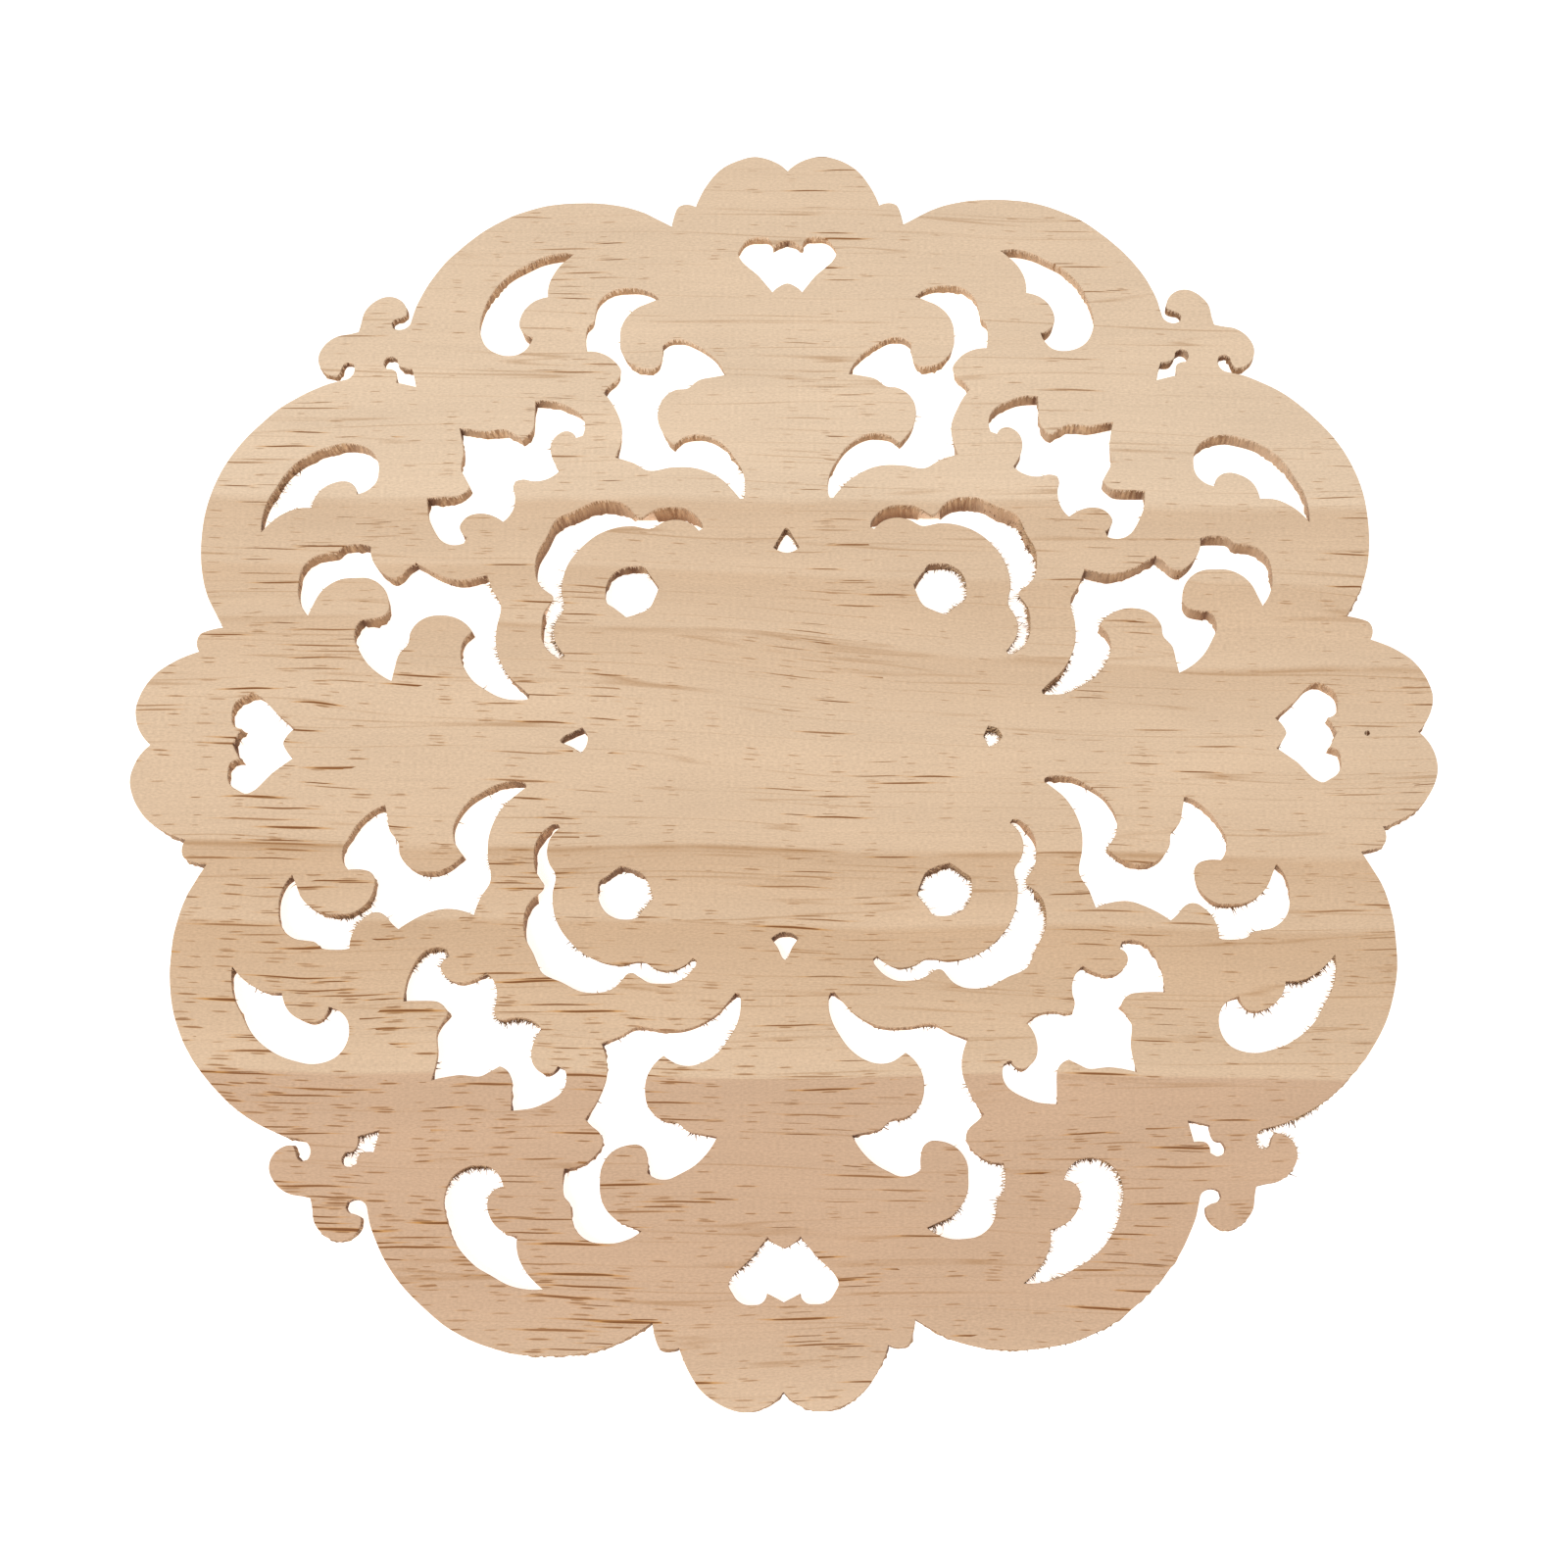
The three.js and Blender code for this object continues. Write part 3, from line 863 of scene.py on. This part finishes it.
def board_mesh(sizes):
    """The board's mesh, with its point attributes."""
    outlines, points, out, opening = sawn_outlines(sizes)
    count = len(points)

    near = kdtree.KDTree(count)
    for number, point in enumerate(points):
        near.insert((*point, 0), number)
    near.balance()
    front_step = sizes.front_step / MM
    inner = rows_inside(outlines, front_step)
    distance = np.array([near.find((*point, 0))[2] for point in inner])
    clear = distance > FRONT_CLEAR * front_step
    inner, distance = inner[clear], distance[clear]

    pin = np.array(
        [
            (
                PIN_HOLE[0] + PIN_RADIUS * math.cos(2 * math.pi * k / PIN_SIDES),
                PIN_HOLE[1] - PIN_RADIUS * math.sin(2 * math.pi * k / PIN_SIDES),
            )
            for k in range(PIN_SIDES)
        ]
    )
    loops = [o.points for o in outlines]
    flat = fill([*loops, pin], [])
    front = fill(loops, inner)

    # Rings of points down each sawn edge, from the glue face to the front
    strayed = points + out * (sizes.saw_wander / MM * wander(points, "saw"))[:, None]
    soft = sizes.arris / MM * (1 + 0.5 * wander(points, "arris"))
    teeth = sizes.tooth_mark / MM * wander(points, "teeth")
    cusp_gap = np.concatenate(
        [
            np.minimum.reduce([np.full(len(o), HALF_WIDTH), *[o.gap_from(at) for at in o.cusps]])
            for o in outlines
        ]
    )
    off_cusp = opening * smoothstep(cusp_gap, 0, CUSP_PLUMB)
    leaning = np.clip(-out[:, 1], 0, 1) * smoothstep(points[:, 1], *LEAN_HEIGHTS)
    lean = sizes.lean / MM * off_cusp * leaning
    undercut = sizes.undercut / MM * off_cusp * np.clip(np.abs(out[:, 0]), 0, 1)
    torn = smoothstep(wander(points, "torn"), *TORN_RANGE)
    ragged = np.abs(wander(points, "ragged")) + 0.6 * np.abs(wander(points, "coarsely ragged"))
    burr = sizes.burr / MM * torn * ragged * 1.6
    depth = thickness(strayed, np.zeros(count)) * (1 + UNEVEN_DEPTH * wander(points, "depth"))
    depth = np.minimum(depth + TORN_DEPTH * ragged * torn, CROWN)
    rings = [
        (-soft - lean, 0 * depth),
        (-0.3 * soft - lean, 0.3 * soft),
        (-lean, soft),
        (teeth - 0.5 * lean - 0.45 * undercut, 0.45 * depth),
        (teeth * 1.3 + 0.35 * burr - 0.8 * undercut, 0.8 * depth),
        (burr - undercut, depth),
    ]
    places = [np.c_[strayed + out * side[:, None], -down] for side, down in rings]
    bottom = np.c_[inner, -thickness(inner, distance)]
    pit = PIN_NARROWING * (pin - PIN_HOLE) + PIN_HOLE
    pin_start = len(rings) * count + len(inner)
    vertices = np.vstack(
        [
            *places,
            bottom,
            np.c_[pin, np.zeros(PIN_SIDES)],
            np.c_[pit, np.full(PIN_SIDES, -PIN_DEPTHS[0])],
            [[*PIN_HOLE, -PIN_DEPTHS[1]]],
        ]
    )
    vertices[:, :2] = np.clip(vertices[:, :2], -HALF_WIDTH, HALF_WIDTH)

    edges = np.array(edges_along(outlines))
    faces, slots = [], []
    flat = np.where(flat >= count, flat - count + pin_start, flat)
    faces += flat.tolist()
    slots += [0] * len(flat)
    for ring in range(len(rings) - 1):
        upper, lower = edges + ring * count, edges + (ring + 1) * count
        band = np.c_[upper[:, 1], upper[:, 0], lower[:, 0], lower[:, 1]]
        faces += band.tolist()
        slots += [0 if ring == 0 else 1] * len(band)
    last = (len(rings) - 1) * count
    front = np.where(front >= count, front - count + len(rings) * count, front + last)
    faces += front[:, ::-1].tolist()
    slots += [2] * len(front)
    for k in range(PIN_SIDES):
        after = (k + 1) % PIN_SIDES
        upper, lower = pin_start, pin_start + PIN_SIDES
        faces.append([upper + after, upper + k, lower + k, lower + after])
        faces.append([lower + after, lower + k, pin_start + 2 * PIN_SIDES])
        slots += [1, 1]

    mesh = bpy.data.meshes.new("pierced_board")
    mesh.from_pydata((vertices * MM).tolist(), [], faces)
    mesh.polygons.foreach_set("material_index", np.array(slots, np.int32))
    mesh.polygons.foreach_set("use_smooth", np.ones(len(faces), bool))

    # Notches are burnt where the blade turned on the spot.
    cusp, tight, start = np.zeros(count, bool), np.zeros(count), 0
    for outline in outlines:
        cusp[start + outline.cusps] = True
        small = SMALL_SCORCH if len(outline) * outline.step < SMALL_OPENING else PLAIN_SCORCH
        heat = np.zeros(len(outline))
        for at in outline.cusps:
            if outline.turn[at] < 0:
                heat = np.maximum(heat, NOTCH_SCORCH * np.exp(-outline.gap_from(at) / NOTCH_REACH))
        tight[start : start + len(outline)] = np.maximum(small, heat)
        start += len(outline)
    tight = np.clip(tight * (1 + 0.8 * wander(points, "scorch")), 0, 1)

    ends = np.array([e.vertices[:] for e in mesh.edges])
    ring_of, place_of = np.divmod(ends, count)
    on_walls = (ends < len(rings) * count).all(1)
    upright = on_walls & (place_of[:, 0] == place_of[:, 1]) & cusp[place_of[:, 0]]
    around = on_walls & (ring_of[:, 0] == ring_of[:, 1]) & np.isin(ring_of[:, 0], (0, len(rings) - 1))
    pin_edge = ((ends >= pin_start) & (ends < pin_start + PIN_SIDES)).all(1)
    sharp = mesh.attributes.new("sharp_edge", "BOOLEAN", "EDGE")
    sharp.data.foreach_set("value", upright | around | pin_edge)

    extra = len(vertices) - pin_start
    values = {
        "scorch": np.r_[np.tile(tight, len(rings)), np.zeros(len(inner)), np.ones(extra)],
        "below_arris": np.r_[
            np.concatenate([down for _, down in rings]), np.zeros(len(inner)), np.ones(extra)
        ],
        "edge_distance": np.r_[np.zeros(len(rings) * count), distance, np.zeros(extra)],
        "frayed": np.r_[
            np.tile(opening * np.clip(-1.4 * out[:, 0], 0, 1), len(rings)),
            np.zeros(len(inner) + extra),
        ],
    }
    for name, value in values.items():
        attribute = mesh.attributes.new(name, "FLOAT", "POINT")
        attribute.data.foreach_set("value", value.astype(np.float32))
    mesh.validate()
    return mesh


def show(mesh, name, materials):
    piece = bpy.data.objects.new(name, mesh)
    bpy.context.scene.collection.objects.link(piece)
    for material in materials:
        mesh.materials.append(material)
    return piece


class ONLAY_OT_board(bpy.types.Operator):
    """Builds the sawn and carved board around the solid's outlines"""

    bl_idname = "onlay.board"
    bl_label = "Pierced board"

    def execute(self, context):
        colours = context.scene.wood_colours
        mesh = board_mesh(context.scene.board_sizes)
        piece = show(
            mesh, "pierced_board", [sanded_back(colours), sawn_edge(colours), carved_front(colours)]
        )
        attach(piece, "root")
        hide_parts(NODE)
        return {"FINISHED"}


def strand(root, way, length, width, bend, chance):
    """Corners and faces of one thin curved strand that tapers to a point."""
    side = way.cross(Vector((0, 0, 1))).normalized()
    up = side.cross(way)
    corners, faces = [], []
    for step in range(STRAND_STEPS):
        share = step / STRAND_STEPS
        centre = root + way * length * share + (side * bend[0] + up * bend[1]) * length * share**2
        radius = width / 2 * (1 - 0.8 * share) * chance.uniform(0.8, 1.2)
        for k in range(3):
            angle = 2 * math.pi * k / 3 + 0.4 * step
            corners.append(centre + (side * math.cos(angle) + up * math.sin(angle)) * radius)
    tip = root + way * length + (side * bend[0] + up * bend[1]) * length
    corners.append(tip)
    for step in range(STRAND_STEPS - 1):
        for k in range(3):
            a, b = 3 * step + k, 3 * step + (k + 1) % 3
            faces.append((a, b, b + 3, a + 3))
    last = 3 * (STRAND_STEPS - 1)
    faces += [(last + k, last + (k + 1) % 3, last + 3) for k in range(3)]
    faces.append((2, 1, 0))
    return corners, faces


def strand_mesh(sizes, board_sizes):
    """Fibres torn out of the openings' right sides, and short crumbs along their upper walls."""
    _, points, out, opening = sawn_outlines(board_sizes)
    depth = thickness(points, np.zeros(len(points)))
    patches = smoothstep(wander(points, "fibres"), *FIBRE_PATCHES)
    court = smoothstep(np.hypot(*points.T), *FIBRE_REACH)
    spots = np.zeros(len(points))
    for x, y, reach in TORN_SPOTS:
        spots = np.maximum(spots, np.exp(-(((points - (x, y)) / reach) ** 2).sum(1)))
    across_grain = (np.clip(-out[:, 0], 0, 1) + 0.15 * np.clip(out[:, 0], 0, 1)) * opening
    upper_wall = np.clip(-out[:, 1], 0, 1)
    crumbling = smoothstep(points[:, 1], *CRUMB_HEIGHTS) * opening * (0.1 + patches)
    torn_rim = spots * (1 - opening)
    # Each kind: how many, where, highest and lowest root as a share of the wall, length and
    # thickness against the usual ones, pull along the grain, and darkness
    kinds = (
        (
            sizes.fibres,
            across_grain * (0.03 + patches * court + 3 * spots) + torn_rim,
            (0, 0.3), 1, 1, 1.5, 0,
        ),
        (sizes.crumbs, upper_wall * (crumbling + 6 * spots), (0.6, 1), 1.1, 1.1, 0, 0.7),
        (sizes.strands, across_grain * spots, (0.1, 0.8), 3, 0.4, 0.8, 0.3),
    )
    chance = random.Random(STRAND_SEED)
    vertices, faces, darkness = [], [], []
    for count, weight, (high, low), long, thick, pull, dark in kinds:
        for place in chance.choices(range(len(points)), weight.tolist(), k=count):
            share = chance.uniform(high, low)
            sunk = 0.15 + board_sizes.undercut / MM * abs(out[place][0]) * share
            root = Vector((*(points[place] - sunk * out[place]), -share * depth[place]))
            away = Vector((*out[place], 0)).normalized()
            way = away + Vector((math.copysign(pull, away.x), 0, 0))
            way += Vector([chance.gauss(0, 0.3) for _ in range(3)])
            length = long * sizes.length / MM * chance.lognormvariate(0, 0.4)
            length = min(length, sizes.longest / MM)
            width = thick * sizes.thickness / MM * chance.uniform(0.6, 1.2)
            bend = (chance.gauss(0, 0.25), chance.gauss(0, 0.2))
            corners, sides = strand(root, way.normalized(), length, width, bend, chance)
            faces += [[i + len(vertices) for i in side] for side in sides]
            vertices += corners
            darkness += [dark + 0.25 * chance.random()] * len(corners)
    vertices = np.array(vertices)
    vertices[:, :2] = np.clip(vertices[:, :2], -HALF_WIDTH, HALF_WIDTH)
    vertices[:, 2] = np.clip(vertices[:, 2], -CROWN, -0.02)
    mesh = bpy.data.meshes.new("torn_strands")
    mesh.from_pydata((vertices * MM).tolist(), [], faces)
    mesh.polygons.foreach_set("use_smooth", np.ones(len(faces), bool))
    attribute = mesh.attributes.new("darkness", "FLOAT", "POINT")
    attribute.data.foreach_set("value", np.array(darkness, np.float32))
    return mesh


class ONLAY_OT_strands(bpy.types.Operator):
    """Adds the strands of wood that the saw tore loose"""

    bl_idname = "onlay.strands"
    bl_label = "Torn strands"

    def execute(self, context):
        scene = context.scene
        mesh = strand_mesh(scene.strand_sizes, scene.board_sizes)
        piece = show(mesh, "torn_strands", [torn_fibre(scene.wood_colours)])
        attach(piece, "root")
        return {"FINISHED"}


class ONLAY_OT_stage(bpy.types.Operator):
    """Lays the floor and sets the lights and the camera"""

    bl_idname = "onlay.stage"
    bl_label = "Studio stage"

    def execute(self, context):
        settings = context.scene.studio_settings
        bpy.ops.mesh.primitive_plane_add(size=FLOOR_SIZE, location=(0, 0, cad_low.z - FLOOR_GAP))
        floor = context.object
        floor.name = "studio_floor"
        # Opal acrylic, lit from below: a white ground with hardly a shadow
        material, tree = new_material("opal_acrylic")
        shader = add(
            tree,
            "BsdfPrincipled",
            {
                "Base Color": settings.floor,
                "Roughness": 0.95,
                "Emission Color": (1, 1, 1, 1),
                "Emission Strength": settings.glow,
            },
        )
        add(tree, "OutputMaterial", {"Surface": shader})
        floor.data.materials.append(material)

        world = bpy.data.worlds.new("even_light")
        world.use_nodes = True
        context.scene.world = world
        background = world.node_tree.nodes["Background"]
        background.inputs["Color"].default_value = (1, 1, 1, 1)
        background.inputs["Strength"].default_value = settings.fill

        key = bpy.data.lights.new("key_softbox", "AREA")
        key.shape = "SQUARE"
        key.size = KEY_SIZE
        key.energy = settings.key_power
        light = bpy.data.objects.new("key_softbox", key)
        context.scene.collection.objects.link(light)
        light.location = KEY_PLACE
        light.rotation_euler = (-light.location).to_track_quat("-Z", "Y").to_euler()

        # The photograph's camera, fitted to the outline: its axes are the columns of turn.
        camera = bpy.data.objects.new("camera", bpy.data.cameras.new("camera"))
        context.scene.collection.objects.link(camera)
        turn = Matrix(CAMERA_AXES).transposed()
        camera.matrix_world = Matrix.Translation(CAMERA_PLACE) @ turn.to_4x4()
        camera.data.lens = CAMERA_LENS
        camera.data.shift_x, camera.data.shift_y = CAMERA_SHIFT
        context.scene.camera = camera
        context.scene.view_settings.view_transform = "Standard"
        return {"FINISHED"}


class ONLAY_PT_panel(bpy.types.Panel):
    """Lists the pieces that can be built"""

    bl_label = "Onlay"
    bl_idname = "ONLAY_PT_panel"
    bl_space_type = "VIEW_3D"
    bl_region_type = "UI"
    bl_category = "Onlay"

    def draw(self, context):
        for group in GROUPS:
            box = self.layout.box()
            settings = getattr(context.scene, group)
            for name in settings.bl_rna.properties.keys():
                if name not in ("rna_type", "name"):
                    box.prop(settings, name)
        for operator in OPERATORS:
            self.layout.operator(operator.bl_idname)


GROUPS = {
    "board_sizes": BoardSizes,
    "wood_colours": WoodColours,
    "strand_sizes": StrandSizes,
    "studio_settings": StudioSettings,
}
OPERATORS = (ONLAY_OT_board, ONLAY_OT_strands, ONLAY_OT_stage)


def register():
    for shown in (*GROUPS.values(), *OPERATORS, ONLAY_PT_panel):
        bpy.utils.register_class(shown)
    for name, group in GROUPS.items():
        setattr(bpy.types.Scene, name, PointerProperty(type=group))


def unregister():
    for name in GROUPS:
        delattr(bpy.types.Scene, name)
    for shown in reversed((*GROUPS.values(), *OPERATORS, ONLAY_PT_panel)):
        bpy.utils.unregister_class(shown)


def main():
    register()
    bpy.ops.onlay.board()
    bpy.ops.onlay.strands()
    bpy.ops.onlay.stage()


if __name__ == "__main__":
    main()
